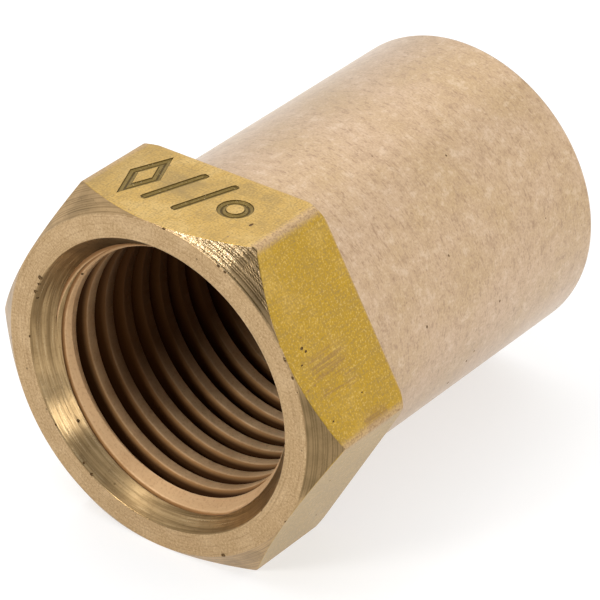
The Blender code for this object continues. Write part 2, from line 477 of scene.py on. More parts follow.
@dataclass(frozen=True)
class FittingSizes:
    """The sizes that more than one piece of the fitting shares."""

    length: float
    apothem: float
    hex_length: float = 4.06 * MM
    barrel_radius: float = 5.475 * MM
    thread_root: float = 4.7625 * MM
    thread_depth: float = 0.38 * MM
    thread_pitch: float = 25.4 * MM / 27
    bore_end: float = 11.67 * MM
    jet_seat: float = 2.5 * MM
    lip_thickness: float = 0.9 * MM

    @classmethod
    def from_frame(cls) -> "FittingSizes":
        """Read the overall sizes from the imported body."""
        low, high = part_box("fitting_body")
        return cls(length=high[1] - low[1], apothem=(high[2] - low[2]) / 2)

    @property
    def crest(self) -> float:
        """The radius of the thread's crests, which is the drilled bore's."""
        return self.thread_root - self.thread_depth

    @property
    def mouth(self) -> float:
        """The Y of the mouth plane."""
        return -self.length / 2


# Finishes


@dataclass(frozen=True)
class DrawnFlat:
    """The wrench flats: yellow drawn bar with lengthwise streaks, tarnish and worn edges, and painted light
    that makes the top flat lighter than the side flats.
    """

    name: str
    # top: the colour of the upward flat, lighter than the sides: painted light
    top: Colour = (0.535, 0.325, 0.062)
    sides: Colour = (0.43, 0.252, 0.008)
    pale: Colour = (0.66, 0.45, 0.155)
    tarnish: Colour = (0.28, 0.18, 0.05)
    scuff: Colour = (0.25, 0.135, 0.045)
    worn: Colour = (0.56, 0.385, 0.215)

    def material(self) -> bpy.types.Material:
        """Make the material."""
        tree = Skin(self.name)
        # painted light: the top flat gets a lighter colour and stronger pale patches than the side flats
        top = tree.z.rising(5.88, 5.98)
        streaks = tree.cloud((16.0, 1.0, 16.0), detail=3.0, roughness=0.65)
        weave = tree.cloud((1.6, 14.0, 1.6), detail=2.0, shift=4.0)
        blotches = tree.cloud((0.7, 0.6, 0.7), detail=4.0, roughness=0.65, shift=9.0)
        grain = tree.cloud((15.0, 13.0, 15.0), detail=2.0, shift=2.0)
        worn = self.worn_edges(tree, grain)
        colour = tree.layered(
            self.sides,
            (top, self.top),
            (blotches.rising(0.48, 0.68) * (0.2 + top * 0.4), self.pale),
            (blotches.falling(0.36, 0.5) * (0.12 + top * 0.3), self.tarnish),
            (streaks.rising(0.46, 0.7) * 0.44, self.tarnish),
            (weave.rising(0.48, 0.7) * 0.26, self.tarnish),
            (grain.rising(0.5, 0.68) * 0.6, self.tarnish),
            (grain.falling(0.32, 0.46) * 0.4, self.pale),
            (self.scuffs(tree), self.scuff),
            (self.ends(tree, top), self.tarnish),
            (worn, tree.mixed(grain.rising(0.45, 0.65) * 0.5, self.worn, self.scuff)),
            (tree.specks(2.6, 0.16, 0.16) * 0.75, self.scuff),
        )
        roughness = 0.3 + worn * 0.22 + grain * 0.1
        height = streaks * 0.5 + grain * 0.35 + weave * 0.15 + worn * grain * 1.2
        return tree.finish(colour, roughness, height, 0.007 * MM, film=0.35)

    def scuffs(self, tree: Skin) -> Signal:
        """Return the brown streaks that a jaw has left on the flat to the right of the top one."""
        across = tree.x * 0.5 - tree.z * 0.866
        outwards = tree.x * 0.866 + tree.z * 0.5
        patch = across.near(1.15, 1.1).rising(0.05, 0.5) * tree.station.near(1.65, 1.35).rising(0.05, 0.6)
        lines = tree.cloud_at(tree.joined(across * 9.0, tree.station * 0.4, 3.0), detail=2.0, roughness=0.7)
        edge = across.rising(2.75, 3.2) * tree.station.near(2.6, 0.9).rising(0.1, 0.5) * 0.8
        whole = (patch * lines.rising(0.44, 0.62) * 0.6).most(edge * lines.rising(0.3, 0.6))
        return whole * outwards.rising(5.8, 5.95)

    def ends(self, tree: Skin, top: Signal) -> Signal:
        """Return the tarnish over the far side and the middle of the top flat."""
        far = tree.x.falling(-3.6, -1.6) * 0.4
        drift = tree.cloud((0.9, 1.2, 0.9), detail=3.0, shift=6.0).rising(0.38, 0.66)
        middle = tree.x.near(-0.6, 2.4) * tree.station.near(2.4, 1.6) * drift * 0.75
        return top * far.most(middle)

    def worn_edges(self, tree: Skin, grain: Signal) -> Signal:
        """Return how worn the surface is: the long edges and the back edge of the hexagon."""
        ragged = grain * 0.12
        corner = (tree.radius + ragged).rising(6.84, 6.95) * 0.7
        struck = (tree.x * 0.5 + tree.z * 0.866 + ragged).rising(6.893, 6.936) * 0.9
        back = (tree.station + ragged).rising(3.99, 4.12) * 0.6
        return corner.most(struck).most(back).clamped()


@dataclass(frozen=True)
class TurnedBarrel:
    """The barrel: matt pinkish brass with fine flecks, soft mottling, small stains and a painted reflection:
    a paler band next to the hexagon.
    """

    name: str
    metal: Colour = (0.54, 0.37, 0.21)
    pink: Colour = (0.56, 0.385, 0.235)
    yellow: Colour = (0.515, 0.345, 0.17)
    brown: Colour = (0.28, 0.15, 0.068)
    # pale tone of the random mottling, also used for the painted reflection next to the hexagon
    pale_tone_and_sheen: Colour = (0.68, 0.52, 0.36)

    def material(self) -> bpy.types.Material:
        """Make the material."""
        tree = Skin(self.name)
        drifts = tree.cloud((0.4, 0.3, 0.4), detail=4.0, roughness=0.6)
        patches = tree.cloud((2.4, 2.2, 2.4), detail=4.0, roughness=0.7, shift=5.0)
        grain = tree.cloud((13.0, 14.0, 13.0), detail=3.0, roughness=0.6, shift=2.0)
        lines = tree.cloud((2.2, 20.0, 2.2), detail=3.0, roughness=0.65, shift=8.0)
        fibres = tree.cloud((3.4, 10.0, 3.4), detail=4.0, roughness=0.65, shift=15.0)
        colour = tree.layered(
            self.pink,
            (drifts.rising(0.35, 0.68), self.yellow),
            (patches.rising(0.4, 0.62) * 0.5, self.metal),
            (patches.falling(0.32, 0.48) * 0.5, self.pale_tone_and_sheen),
            (patches.rising(0.52, 0.68) * 0.26, self.brown),
            (grain.rising(0.5, 0.7) * 0.3, self.brown),
            (grain.falling(0.32, 0.46) * 0.36, self.pale_tone_and_sheen),
            (lines.rising(0.54, 0.74) * 0.34, self.brown),
            (fibres.rising(0.55, 0.66) * patches.rising(0.34, 0.54) * 0.55, self.brown),
            (tree.specks(1.7, 0.3, 0.1).most(tree.specks(3.9, 0.14, 0.17)) * 0.45, self.brown),
            # painted reflection: the barrel turns paler next to the hexagon
            (tree.station.falling(4.1, 4.9) * 0.45, self.pale_tone_and_sheen),
        )
        roughness = 0.4 + grain * 0.12 + patches * 0.06
        height = grain * 0.4 + lines * 0.3 + fibres * 0.3
        return tree.finish(colour, roughness, height, 0.012 * MM, film=0.9)


@dataclass(frozen=True)
class FacedRing:
    """A face turned square to the axis: concentric lines, a fine grain and small dark marks."""

    name: str
    metal: Colour = (0.47, 0.318, 0.165)
    light: Colour = (0.64, 0.46, 0.27)
    dark: Colour = (0.24, 0.145, 0.062)
    stain: Colour = (0.10, 0.065, 0.03)

    def material(self) -> bpy.types.Material:
        """Make the material."""
        tree = Skin(self.name)
        rings = tree.rings(24.0, 0.5)
        grain = tree.cloud((13.0, 13.0, 13.0), detail=3.0, roughness=0.65)
        clouds = tree.cloud((1.2, 1.2, 1.2), detail=3.0, shift=3.0)
        colour = tree.layered(
            self.metal,
            (clouds.rising(0.45, 0.7) * 0.35, self.light),
            (rings.rising(0.48, 0.7) * 0.4, self.dark),
            (grain.rising(0.48, 0.68) * 0.5, self.dark),
            (grain.falling(0.34, 0.46) * 0.55, self.light),
            (tree.specks(2.4, 0.22, 0.14) * 0.6, self.stain),
        )
        roughness = 0.34 + grain * 0.12
        return tree.finish(colour, roughness, rings * 0.5 + grain * 0.5, 0.009 * MM)


@dataclass(frozen=True)
class TurnedChamfer:
    """The chamfer on the hexagon's corners: coarse brown tool lines with painted shade in their bottoms and a
    painted highlight on their ridges, and a rough torn patch whose pale colour is a painted highlight.
    """

    name: str
    pitch: float
    start: float
    metal: Colour = (0.50, 0.335, 0.17)
    light: Colour = (0.90, 0.70, 0.44)
    dark: Colour = (0.105, 0.07, 0.028)

    def material(self) -> bpy.types.Material:
        """Make the material."""
        tree = Skin(self.name)
        bottoms = tree.tool_bottoms(self.pitch / MM, self.start / MM)
        fine = tree.rings(30.0, 0.6)
        grain = tree.cloud((11.0, 11.0, 11.0), detail=3.0, roughness=0.7, shift=1.0)
        patches = tree.cloud((1.1, 1.1, 1.1), detail=3.0, shift=12.0)
        struck = tree.toward(32).rising(0.955, 0.985)
        torn_and_glint = tree.toward(18).rising(0.975, 0.992)
        low = tree.toward(90).rising(0.93, 0.97)
        colour = tree.layered(
            self.metal,
            (patches.rising(0.4, 0.65) * 0.3, self.dark),
            (fine.rising(0.48, 0.7) * 0.4, self.dark),
            (grain.rising(0.55, 0.7) * 0.3, self.dark),
            # painted highlight: the rough torn patch near clock 18 is pale, for the light it catches
            (torn_and_glint * grain.falling(0.42, 0.55) * 0.75, self.light),
            (struck * 0.26 + low * 0.56, self.dark),
            # painted shade in the bottoms of the tool grooves, stronger near the corners
            (bottoms.rising(0.45, 0.85) * (0.25 + struck * 0.6 + low * 0.2), self.dark),
            # painted highlight on the ridges between the tool grooves near clock 32
            (struck * bottoms.falling(0.05, 0.25) * 0.12, self.light),
        )
        roughness = 0.3 + grain * 0.1 - struck * 0.06
        height = fine * 0.3 + grain * (0.3 + torn_and_glint * 1.4)
        return tree.finish(colour, roughness, height, 0.014 * MM)


@dataclass(frozen=True)
class Countersunk:
    """The countersink: bright turned metal with grooves that catch the light in bands, and painted shade
    towards clock 172 and clock -80.
    """

    name: str
    metal: Colour = (0.49, 0.335, 0.165)
    light: Colour = (0.80, 0.61, 0.36)
    dark: Colour = (0.15, 0.092, 0.038)

    def material(self) -> bpy.types.Material:
        """Make the material."""
        tree = Skin(self.name)
        coarse = tree.rings(9.0, 0.25)
        fine = tree.rings(34.0, 0.7)
        bands = tree.cloud((1.0, 0.5, 1.0), detail=3.0, roughness=0.6, shift=7.0)
        grain = tree.cloud((12.0, 12.0, 12.0), detail=2.0, shift=6.0)
        # painted shade: the countersink is darker towards clock 172 and clock -80
        low = tree.toward(172).rising(0.72, 0.98).most(tree.toward(-80).rising(0.84, 0.98))
        colour = tree.layered(
            self.metal,
            (bands.rising(0.42, 0.68) * 0.4, self.dark),
            (coarse.rising(0.48, 0.7) * 0.45, self.dark),
            (fine.rising(0.5, 0.74) * 0.42, self.dark),
            (fine.falling(0.3, 0.46) * 0.34, self.light),
            (grain.rising(0.56, 0.74) * 0.3, self.dark),
            (tree.specks(2.0, 0.2, 0.13) * 0.7, self.dark),
            # painted shade on those two sides, stronger on the coarse grooves
            (low * (0.24 + coarse.rising(0.4, 0.6) * 0.4), self.dark),
        )
        roughness = 0.22 + fine * 0.1 + grain * 0.05
        return tree.finish(colour, roughness, coarse * 0.55 + fine * 0.35 + grain * 0.1, 0.016 * MM)


@dataclass(frozen=True)
class CutThread:
    """The thread and the bore: matt tan crests over grooves painted dark with depth as shade, and a painted
    shadow on the upper far side.
    """

    name: str
    crest_radius: float
    mouth_radius: float
    mouth_slope: float
    crest: Colour = (0.84, 0.58, 0.33)
    light: Colour = (0.94, 0.69, 0.42)
    brown: Colour = (0.30, 0.14, 0.045)
    shadow_colour: Colour = (0.045, 0.014, 0.003)
    # the colour of the painted shadow on the upper far side of the bore
    root: Colour = (0.025, 0.008, 0.002)

    def material(self) -> bpy.types.Material:
        """Make the material."""
        tree = Skin(self.name)
        lines = tree.cloud((1.2, 16.0, 1.2), detail=3.0, roughness=0.6)
        grain = tree.cloud((11.0, 11.0, 11.0), detail=3.0, shift=3.0)
        stains = tree.cloud((0.8, 0.6, 0.8), detail=3.0, shift=8.0)
        uncut = (self.mouth_radius / MM - tree.station * self.mouth_slope).most(self.crest_radius / MM)
        depth = tree.radius + lines * 0.02 - uncut
        colour = tree.layered(
            self.crest,
            (lines.falling(0.32, 0.5) * 0.4, self.light),
            (grain.rising(0.5, 0.7) * 0.25, self.brown),
            (stains.rising(0.45, 0.7) * 0.2, self.brown),
            (tree.station.falling(0.6, 5.5) * 0.42, self.brown),
            # painted shade: the grooves turn brown and then near black with their depth below the crests
            (depth.rising(0.012, 0.05) * 0.85, self.brown),
            (depth.rising(0.0, 0.2), self.root),
            # painted shadow: the upper far side of the bore is darkened, more deeply in
            (self.painted_shadow(tree, stains), self.shadow_colour),
        )
        roughness = 0.5 + grain * 0.06
        height = lines * 0.6 + grain * 0.4
        return tree.finish(colour, roughness, height, 0.004 * MM, edge=(0.5, 0.26, 0.1), metallic=0.35)

    def painted_shadow(self, tree: Skin, stains: Signal) -> Signal:
        """Return the painted shadow on the upper far side of the bore, stronger deeper in."""
        side = (tree.toward(-62) + stains * 0.2).rising(-0.4, 0.7)
        return side * tree.station.rising(0.6, 3.6) * 0.96


@dataclass(frozen=True)
class MarkedGroove:
    """The grooves of the mark: burnt olive-brown walls and a paler, pitted bottom."""

    name: str
    wall: Colour = (0.10, 0.064, 0.018)
    floor: Colour = (0.28, 0.195, 0.062)
    spark: Colour = (0.75, 0.60, 0.36)

    def material(self) -> bpy.types.Material:
        """Make the material."""
        tree = Skin(self.name)
        pits = tree.cloud((7.0, 7.0, 7.0), detail=3.0, roughness=0.7)
        grain = tree.cloud((16.0, 16.0, 16.0), detail=2.0, shift=5.0)
        ridges = (tree.z + pits * 0.008).near(5.961, 0.02)
        colour = tree.layered(
            self.wall,
            (ridges * 0.85, self.floor),
            (pits.rising(0.5, 0.7) * 0.5, self.wall),
            (grain.rising(0.66, 0.74) * 0.55, self.spark),
        )
        return tree.finish(colour, 0.42 + grain * 0.12, pits * 0.6 + grain * 0.4, 0.03 * MM)


# Body


class Surface(Enum):
    """The differently made surfaces of the body."""

    FLAT = "drawn wrench flat"
    BARREL = "turned barrel"
    RING = "faced mouth ring"
    BACK = "faced back of the hexagon"
    NOSE = "faced nose"
    CHAMFER = "turned mouth chamfer"
    COUNTERSINK = "countersunk mouth"
    THREAD = "cut thread"
    BORE = "drilled bore"
    MARK = "marked groove"
    DENT = "dent"


def given_slots(piece: bpy.types.Object, index: int) -> None:
    """Give a piece an empty material slot for each surface, and all its faces one of them."""
    for _ in Surface:
        piece.data.materials.append(None)
    piece.data.polygons.foreach_set("material_index", [index] * len(piece.data.polygons))


@dataclass(frozen=True)
class Dent:
    """A small nick or pit: an ellipsoid that is cut out of the surface."""

    clock: float
    radius: float
    station: float
    size: Place


@dataclass
class FittingBody:
    """The one-piece body: hexagon, barrel, mouth, thread and nose."""

    sizes: FittingSizes
    edge_roundings: tuple[float, ...] = (0.3 * MM, 0.2 * MM, 0.2 * MM, 0.2 * MM, 0.2 * MM, 0.16 * MM)
    flat_columns: int = 34
    edge_columns: int = 6
    mouth_chamfer_depth: float = 0.8 * MM
    back_chamfer_depth: float = 0.2 * MM
    chamfer_slope: float = math.tan(math.radians(40))
    countersink_radius: float = 5.1725 * MM
    countersink_slope: float = math.tan(math.radians(34))
    nose_hole: float = 1.95 * MM
    nose_countersink: float = 0.45 * MM
    groove_pitch: float = 0.078 * MM
    groove_depth: float = 0.012 * MM
    drill_point_slope: float = math.tan(math.radians(59))
    plain_bore: float = 0.9 * MM
    thread_start: float = math.radians(-8)
    thread_flank: float = math.tan(math.radians(30))
    thread_root_width: float = 0.118 * MM
    thread_runout_turns: float = 1.5
    thread_runout_lift: float = 1.3
    thread_run_in: float = 1.05 * MM
    thread_run_in_lift: float = 0.6 * MM
    tooth_groove_depth: float = 0.085 * MM
    mark_height: float = 1.05 * MM
    mark_width: float = 0.44 * MM
    mark_spacing: float = 1.2 * MM
    mark_shift: float = -0.3 * MM
    mark_station: float = 2.26 * MM
    mark_slant: float = math.tan(math.radians(18))
    mark_ring_sides: int = 28
    mark_depth: float = 0.07 * MM
    mark_cutter_radius: float = 0.26 * MM
    mark_ridge_height: float = 0.05
    mark_ridge_spacing: float = 0.44

    @property
    def corner_radius(self) -> float:
        """The radius of the hexagon's corners, before they are rounded."""
        return self.sizes.apothem / math.cos(math.pi / 6)

    @property
    def ring_radius(self) -> float:
        """The outer radius of the flat mouth ring."""
        return self.corner_radius - self.mouth_chamfer_depth / self.chamfer_slope

    def columns(self) -> list[Column]:
        """Return the half-planes, which crowd together where the hexagon turns a corner."""
        apothem = self.sizes.apothem
        half_flat = apothem * math.tan(math.pi / 6)
        found = []
        for flat in range(6):
            middle = math.pi / 3 * flat
            before = self.edge_roundings[flat - 1] * math.tan(math.pi / 6)
            rounding = self.edge_roundings[flat]
            after = rounding * math.tan(math.pi / 6)
            first, last = before - half_flat, half_flat - after
            for step in range(self.flat_columns + 1):
                across = first + (last - first) * step / self.flat_columns
                found.append(Column(middle + math.atan2(across, apothem), math.hypot(across, apothem)))
            centre = (apothem - rounding) / math.cos(math.pi / 6)
            for step in range(1, self.edge_columns):
                turn = math.pi / 3 * (step / self.edge_columns - 0.5)
                outwards = centre + rounding * math.cos(turn)
                sideways = rounding * math.sin(turn)
                clock = middle + math.pi / 6 + math.atan2(sideways, outwards)
                found.append(Column(clock, math.hypot(outwards, sideways)))
        return found

    def tool_grooves(self, clock: float) -> Callable[[float, float], float]:
        """Return the relief of the mouth chamfer, which the tool left coarser at two corners."""
        struck, lower = (
            max(0.0, 1 - abs(math.remainder(clock - math.radians(corner), 2 * math.pi)) / math.radians(width))
            for corner, width in ((30, 24), (90, 30))
        )
        coarse = 0.3 + 0.7 * min(1.0, 1.6 * max(struck, lower))

        def ripple(radius: float, station: float) -> float:
            """Return how far the surface stands out at this radius."""
            turn = (radius - self.ring_radius) / self.groove_pitch
            uneven = turn + 0.3 * math.sin(2.1 * turn)
            wave = 0.5 + 0.5 * math.cos(2 * math.pi * uneven)
            return -self.groove_depth * coarse * wave

        return ripple

    def outline(self, column: Column) -> list[Point]:
        """Return the turned outline that the body has in one half-plane, thread left out."""
        sizes = self.sizes
        flat_start = (column.reach - self.ring_radius) * self.chamfer_slope
        back_radius = self.corner_radius - self.back_chamfer_depth / self.chamfer_slope
        inset = max(column.reach - back_radius, 0.035 * MM)
        flat_end = sizes.hex_length - inset * self.chamfer_slope
        countersink_end = (self.countersink_radius - sizes.crest) / self.countersink_slope
        shoulder = sizes.length - sizes.lip_thickness
        seat = self.bore_floor
        corners = [
            Corner(sizes.crest, countersink_end, 0.03 * MM, cuts=3),
            *self.lead_in_groove(column.clock),
            Corner(self.countersink_radius, 0.0, 0.06 * MM, cuts=4),
            Corner(self.ring_radius, 0.0, 0.08 * MM, cuts=60, ripple=self.tool_grooves(column.clock)),
            Corner(column.reach, flat_start, 0.05 * MM, cuts=22),
            Corner(column.reach, flat_end, 0.06 * MM),
            Corner(column.reach - inset, sizes.hex_length, 0.06 * MM, cuts=2),
            Corner(sizes.barrel_radius, sizes.hex_length, 0.15 * MM, cuts=16),
            Corner(sizes.barrel_radius, sizes.length, 0.12 * MM, cuts=4),
            Corner(self.nose_hole + self.nose_countersink, sizes.length, 0.05 * MM),
            Corner(self.nose_hole, sizes.length - self.nose_countersink, 0.05 * MM),
            Corner(self.nose_hole, shoulder, 0.03 * MM),
            Corner(sizes.jet_seat, shoulder, 0.03 * MM),
            Corner(sizes.jet_seat, seat, 0.05 * MM),
            Corner(sizes.crest, sizes.bore_end, 0.05 * MM),
        ]
        return Outline(corners).points()

    def lead_in(self, clock: float) -> float:
        """Return the station where the tap's smooth lead-in starts on the countersink's cone."""
        sizes = self.sizes
        turn = (clock - self.thread_start) / (2 * math.pi) % 1
        tapered = max(0.0, 0.44 - turn) * 4.0 * MM
        end = (self.countersink_radius - sizes.crest) / self.countersink_slope
        return min(sizes.thread_pitch * turn + 0.2 * MM + tapered, end - 0.12 * MM)

    def lead_in_groove(self, clock: float) -> list[Corner]:
        """Return the corners of the fine groove that the tap's first tooth has left on the cone."""
        middle = self.lead_in(clock)
        turn = (clock - self.thread_start) / (2 * math.pi) % 1
        share = min(1.0, max(0.0, (turn - 0.4) / 0.1)) * min(1.0, max(0.0, (0.98 - turn) / 0.1))
        corners = []
        steps = ((0.07 * MM, 0.0, 1), (0.0, self.tooth_groove_depth, 1), (-0.055 * MM, 0.0, 5))
        for offset, depth, cuts in steps:
            station = middle + offset
            radius = self.countersink_radius - station * self.countersink_slope + depth * share
            corners.append(Corner(radius, station, cuts=cuts))
        return corners

    @property
    def bore_floor(self) -> float:
        """The station where the drill point's cone meets the jet's seat."""
        return self.sizes.bore_end + (self.sizes.crest - self.sizes.jet_seat) / self.drill_point_slope

    @staticmethod
    def profile(radius: float, half: float, steps: Sequence[Point]) -> list[Point]:
        """Return points of the coil's section, from steps in millimetres off one of its corners."""
        return [(radius + outwards * MM, half + sideways * MM) for outwards, sideways in steps]

    def thread(self, columns: Sequence[Column]) -> bpy.types.Object:
        """Make the coil that the tap removes: round-edged, with its last turns fading out.

        Args:
            columns: the body's half-planes, so that the coil's facets meet the bore's.

        Returns:
            The coil.
        """
        sizes = self.sizes
        root_half = self.thread_root_width / 2
        crest_half = root_half + sizes.thread_depth * self.thread_flank
        root = self.profile(sizes.thread_root, root_half, ((-0.01, 0.006), (0.05, -0.029), (0.085, -0.05)))
        sharp = ((-0.2, 0.02), (0.0, 0.02), (0.008, 0.006), (0.026, -0.012))
        domed = ((-0.2, 0.04), (-0.002, 0.04), (0.006, 0.018), (0.022, -0.004), (0.05, -0.026))
        sharp = self.profile(sizes.crest, crest_half, sharp)
        domed = self.profile(sizes.crest, crest_half, domed)
        section = [(radius, -offset) for radius, offset in sharp + root]
        section += [(radius, offset) for radius, offset in reversed(domed + root)]
        last_station = sizes.bore_end - self.plain_bore
        turns = round(last_station / sizes.thread_pitch) + 2
        wound = ((column, turn) for turn in range(-1, turns) for column in columns)
        sections = []
        for column, turn in wound:
            station = sizes.thread_pitch * (turn + (column.clock - self.thread_start) / (2 * math.pi))
            left = (last_station - station) / (sizes.thread_pitch * self.thread_runout_turns)
            if station < -sizes.thread_pitch or left < 0:
                continue
            sunk = self.thread_runout_lift * sizes.thread_depth * max(0.0, 1 - left)
            sunk += self.thread_run_in_lift * max(0.0, 1 - station / self.thread_run_in)
            sections.append([column.at(radius - sunk, station + offset) for radius, offset in section])
        return swept("thread_cutter", sections, closed=False)

    def mark(self) -> list[bpy.types.Object]:
        """Make the cutters of the mark on the top flat: a lozenge, two slanted strokes and a ring."""
        width, middle = self.mark_width, self.mark_station
        low, high = middle - self.mark_height, middle + self.mark_height
        lean = self.mark_height * self.mark_slant
        lozenge, left, right, ring = (self.mark_spacing * (cell - 1.5) + self.mark_shift for cell in range(4))
        corners = [(lozenge - width, middle), (lozenge, high), (lozenge + width, middle), (lozenge, low)]
        strokes = [[(across - lean, low), (across + lean, high)] for across in (left, right)]
        turns = [2 * math.pi / self.mark_ring_sides * step for step in range(self.mark_ring_sides)]
        circle = [(ring + width * math.sin(turn), middle + width * math.cos(turn)) for turn in turns]
        return [
            self.groove(corners, closed=True),
            *[self.groove(stroke, closed=False) for stroke in strokes],
            self.groove(circle, closed=True),
        ]

    def groove(self, path: Sequence[Point], closed: bool) -> bpy.types.Object:
        """Make a round cutter that follows a path over the top flat.

        Args:
            path: (across, station) points.
            closed: whether the path ends where it starts.

        Returns:
            The cutter.
        """
        radius = self.mark_cutter_radius
        height = self.sizes.apothem + radius - self.mark_depth
        up = Vector((0, 0, 1))
        spine = [Vector((across, station, height)) for across, station in path]
        spots = []
        for number, spot in enumerate(spine):
            ways = []
            if closed or number:
                ways.append((spot - spine[number - 1]).normalized())
            if closed or number < len(spine) - 1:
                ways.append((spine[(number + 1) % len(spine)] - spot).normalized())
            way = sum(ways, Vector()).normalized()
            spots.append((spot, way, 1 / way.dot(ways[0])))
        sections = [
            self.round_section(spot, way.cross(up) * stretch * radius, up * radius)
            for spot, way, stretch in spots
        ]
        for turn in () if closed else (0.5, 1.0, 1.4):
            size, reach = radius * math.cos(turn), radius * math.sin(turn)
            for (end, way, _), sign in ((spots[0], -1), (spots[-1], 1)):
                made = self.round_section(end + way * reach * sign, way.cross(up) * size, up * size)
                sections.insert(0 if sign < 0 else len(sections), made)
        return swept("mark_cutter", sections, closed)

    def round_section(self, centre: Vector, across: Vector, up: Vector) -> list[Place]:
        """Return a round section: finely divided below, with ridges, and coarse above.

        Args:
            centre: the middle of the section.
            across: its radius sideways.
            up: its radius upwards.

        Returns:
            The section's points.
        """
        below = [-140 + 100 * step / 28 for step in range(29)]
        above = [-40 + 260 * step / 8 for step in range(1, 8)]
        points = []
        for number, angle in enumerate(below + above):
            side, lift = math.cos(math.radians(angle)), math.sin(math.radians(angle))
            if number < len(below):
                wave = math.cos(2 * math.pi * side / self.mark_ridge_spacing)
                lift += self.mark_ridge_height * (1 - wave)
            points.append(tuple(centre + across * side + up * lift))
        return points

    def dents(self) -> list[Dent]:
        """Return the nicks and pits that handling has left: chosen ones, then scattered ones."""
        sizes = self.sizes
        on_flats = (
            (0, 2.49, 1.79, (0.06, 0.11, 0.03)),
            (1, 0.0, 0.82, (0.05, 0.07, 0.03)),
            (1, 0.15, 0.93, (0.04, 0.06, 0.03)),
            (1, 0.45, 0.53, (0.03, 0.05, 0.02)),
            (1, 2.5, 0.8, (0.04, 0.04, 0.02)),
            (1, 2.27, 2.44, (0.03, 0.04, 0.02)),
            (2, -1.1, 1.6, (0.03, 0.05, 0.02)),
            (2, 1.9, 2.9, (0.04, 0.04, 0.02)),
        )
        round_the_mouth = (
            (-63, 5.21, 0.0, (0.09, 0.05, 0.1)),
            (-66, 5.17, 0.02, (0.05, 0.05, 0.06)),
            (-70, 5.17, 0.0, (0.07, 0.06, 0.08)),
            (-73, 5.1, 0.1, (0.04, 0.05, 0.05)),
            (-128.7, 4.77, 0.59, (0.07, 0.06, 0.04)),
            (-148, 5.15, 0.02, (0.06, 0.05, 0.06)),
            (-143, 5.12, 0.06, (0.05, 0.04, 0.04)),
            (152.8, 5.94, 0.0, (0.09, 0.05, 0.07)),
            (-58.7, 4.45, 1.08, (0.06, 0.05, 0.04)),
            (60, 5.96, 0.0, (0.1, 0.04, 0.05)),
        )
        found = [self.on_flat(*values) for values in on_flats]
        found += [self.struck_at(*values) for values in round_the_mouth]
        draw = random.Random(27)
        for edge, largest in ((self.ring_radius, 0.07), (self.countersink_radius, 0.06)):
            for _ in range(8):
                clock = draw.uniform(0, 2 * math.pi)
                size = draw.uniform(0.03, largest) * MM
                radius = edge + draw.uniform(-0.3, 0.3) * size
                found.append(Dent(clock, radius, 0.0, (size, size * 0.8, size * 0.6)))
        for _ in range(26):
            clock = draw.uniform(0, 2 * math.pi)
            station = draw.uniform(sizes.hex_length + 1.0 * MM, sizes.length - 0.5 * MM)
            size = draw.uniform(0.02, 0.045) * MM
            found.append(Dent(clock, sizes.barrel_radius, station, (size * 1.5, size, size * 0.5)))
        return found

    def dent_cutter(self) -> bpy.types.Object:
        """Make one cutter of all the dents."""
        shape = bmesh.new()
        for dent in self.dents():
            ball = bmesh.ops.create_icosphere(shape, subdivisions=2, radius=1.0)["verts"]
            column = Column(dent.clock)
            outwards = Vector(column.at(1, 0))
            sideways = Vector(Column(dent.clock + math.pi / 2).at(1, 0))
            centre = Vector(column.at(dent.radius, dent.station))
            for vert in ball:
                across, along, deep = (vert.co[axis] * dent.size[axis] for axis in range(3))
                vert.co = centre + sideways * across + Vector((0, 1, 0)) * along + outwards * deep
        bmesh.ops.recalc_face_normals(shape, faces=shape.faces)
        mesh = bpy.data.meshes.new("dent_cutter")
        shape.to_mesh(mesh)
        shape.free()
        return placed("dent_cutter", mesh)

    @staticmethod
    def struck_at(clock: float, radius: float, station: float, size: Place) -> Dent:
        """Return a dent from a clock angle in degrees and sizes in millimetres."""
        return Dent(math.radians(clock), radius * MM, station * MM, tuple(value * MM for value in size))

    def on_flat(self, flat: int, across: float, station: float, size: Place) -> Dent:
        """Return a dent on one of the wrench flats, from sizes in millimetres."""
        reach = math.hypot(across * MM, self.sizes.apothem)
        clock = math.pi / 3 * flat + math.atan2(across * MM, self.sizes.apothem)
        return Dent(clock, reach, station * MM, tuple(value * MM for value in size))

    def surface_of(self, place: Vector) -> "Surface":
        """Say which turned or drawn surface of the body a face belongs to.

        The small margins give a rounded edge the look of the surface beside it.

        Args:
            place: the middle of the face.

        Returns:
            The surface.
        """
        sizes = self.sizes
        radius = math.hypot(place.x, place.z)
        station = place.y
        clock = math.atan2(place.x, place.z)
        turn = (clock + math.pi / 6) % (math.pi / 3) - math.pi / 6
        depth_in_flat = sizes.apothem - radius * math.cos(turn)
        in_mouth = self.countersink_radius - station * self.countersink_slope
        if radius < in_mouth + 0.02 * MM and sizes.crest + 0.01 * MM < radius:
            return Surface.COUNTERSINK if station < self.lead_in(clock) - 0.056 * MM else Surface.THREAD
        if radius < sizes.barrel_radius - 0.3 * MM:
            return Surface.BORE if station < sizes.length - 0.5 * MM else Surface.NOSE
        if station < 0.03 * MM and radius < self.ring_radius + 0.03 * MM:
            return Surface.RING
        on_chamfer = station < (radius - self.ring_radius) * self.chamfer_slope + 0.05 * MM
        if on_chamfer and depth_in_flat > 0.012 * MM:
            return Surface.CHAMFER
        if station < sizes.hex_length - 0.2 * MM or depth_in_flat < 0.02 * MM:
            return Surface.FLAT
        if station < sizes.hex_length + 0.1 * MM:
            return Surface.BACK
        return Surface.BARREL if station < sizes.length - 0.05 * MM else Surface.NOSE

